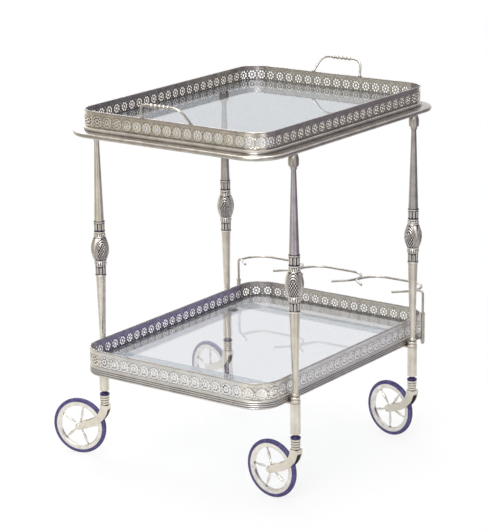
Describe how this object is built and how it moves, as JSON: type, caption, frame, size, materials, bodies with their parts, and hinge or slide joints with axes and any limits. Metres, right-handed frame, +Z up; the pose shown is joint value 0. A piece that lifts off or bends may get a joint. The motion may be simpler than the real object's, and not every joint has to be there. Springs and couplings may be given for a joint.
{
  "type": "two-tier bar cart",
  "caption": "Two-tier bar cart with a lift-off glass tray, pierced galleries, turned legs, a wire bottle rack and spoked swivel casters.",
  "frame": {"origin": "on the floor, under the middle of the object's bounding box; the middle of the trays lies 53.1 mm towards -Y of it, because all casters trail towards +Y", "axes": "+X along the cart towards the end with the bottle rack, +Y across it towards its left side, +Z up"},
  "size_m": [0.619, 0.5987, 0.7652],
  "materials": {
    "aged_silver": "aged silver plate, satin to polished, with darker tone in the hollows",
    "polished_silver": "bright polished silver plate",
    "dark_steel": "dark tarnished steel",
    "tyre": "dark indigo grey rubber tyre, satin",
    "clear_glass": "clear plate glass with polished edges"
  },
  "bodies": {
    "frame": {"upper_rim": "aged_silver", "leg_caps": "aged_silver", "leg_rods": "dark_steel", "tray_clips": "aged_silver", "lower_gallery_left": "aged_silver", "lower_gallery_right": "aged_silver", "lower_gallery_front": "aged_silver", "lower_gallery_rear": "aged_silver", "lower_gallery_corners": "aged_silver", "lower_moulding": "aged_silver", "lower_glass": "clear_glass", "glass_rails": "aged_silver", "rack_sockets": "aged_silver", "upper_leg_front_left": "aged_silver", "upper_leg_rear_left": "aged_silver", "upper_leg_front_right": "aged_silver", "upper_leg_rear_right": "aged_silver", "knop_front_left": "aged_silver", "knop_rear_left": "aged_silver", "knop_front_right": "aged_silver", "knop_rear_right": "aged_silver", "lower_leg_front_left": "polished_silver", "lower_leg_rear_left": "polished_silver", "lower_leg_front_right": "polished_silver", "lower_leg_rear_right": "polished_silver", "sleeve_front_left": "polished_silver", "sleeve_rear_left": "polished_silver", "sleeve_front_right": "polished_silver", "sleeve_rear_right": "polished_silver"},
    "serving_tray": {"upper_gallery_left": "aged_silver", "upper_gallery_right": "aged_silver", "upper_gallery_front": "aged_silver", "upper_gallery_rear": "aged_silver", "upper_gallery_corners": "aged_silver", "upper_tray_base": "aged_silver", "upper_glass": "clear_glass", "handle_front": "aged_silver", "handle_rear": "aged_silver"},
    "bottle_rack": {"rack_loops": "aged_silver", "rack_posts": "aged_silver"},
    "caster_front_left": {"stem_front_left": "dark_steel", "fork_front_left": "polished_silver", "axle_front_left": "dark_steel"},
    "caster_rear_left": {"stem_rear_left": "dark_steel", "fork_rear_left": "polished_silver", "axle_rear_left": "dark_steel"},
    "caster_front_right": {"stem_front_right": "dark_steel", "fork_front_right": "polished_silver", "axle_front_right": "dark_steel"},
    "caster_rear_right": {"stem_rear_right": "dark_steel", "fork_rear_right": "polished_silver", "axle_rear_right": "dark_steel"},
    "roller_front_left": {"wheel_front_left": "polished_silver", "tyre_front_left": "tyre"},
    "roller_rear_left": {"wheel_rear_left": "polished_silver", "tyre_rear_left": "tyre"},
    "roller_front_right": {"wheel_front_right": "polished_silver", "tyre_front_right": "tyre"},
    "roller_rear_right": {"wheel_rear_right": "polished_silver", "tyre_rear_right": "tyre"}
  },
  "joints": [
    {"name": "tray_lift", "type": "slide", "parent": "frame", "child": "serving_tray", "axis": [0, 0, 1], "range_m": [0, 0.12]},
    {"name": "rack_lift", "type": "slide", "parent": "frame", "child": "bottle_rack", "axis": [0, 0, 1], "range_m": [0, 0.08]},
    {"name": "swivel_front_left", "type": "hinge", "parent": "frame", "child": "caster_front_left", "pos_m": [-0.21, 0.18043, 0.1384], "axis": [0, 0, 1], "continuous": true},
    {"name": "roll_front_left", "type": "hinge", "parent": "caster_front_left", "child": "roller_front_left", "pos_m": [-0.22391, 0.23622, 0.0583], "axis": [-0.9703, -0.2419, 0], "continuous": true},
    {"name": "swivel_rear_left", "type": "hinge", "parent": "frame", "child": "caster_rear_left", "pos_m": [0.21, 0.18043, 0.1384], "axis": [0, 0, 1], "continuous": true},
    {"name": "roll_rear_left", "type": "hinge", "parent": "caster_rear_left", "child": "roller_rear_left", "pos_m": [0.22097, 0.23687, 0.0583], "axis": [-0.9816, 0.1908, 0], "continuous": true},
    {"name": "swivel_front_right", "type": "hinge", "parent": "frame", "child": "caster_front_right", "pos_m": [-0.21, -0.28658, 0.1384], "axis": [0, 0, 1], "continuous": true},
    {"name": "roll_front_right", "type": "hinge", "parent": "caster_front_right", "child": "roller_front_right", "pos_m": [-0.20699, -0.22915, 0.0583], "axis": [-0.9986, 0.0523, 0], "continuous": true},
    {"name": "swivel_rear_right", "type": "hinge", "parent": "frame", "child": "caster_rear_right", "pos_m": [0.21, -0.28658, 0.1384], "axis": [0, 0, 1], "continuous": true},
    {"name": "roll_rear_right", "type": "hinge", "parent": "caster_rear_right", "child": "roller_rear_right", "pos_m": [0.218, -0.22963, 0.0583], "axis": [-0.9903, 0.1392, 0], "continuous": true}
  ]
}
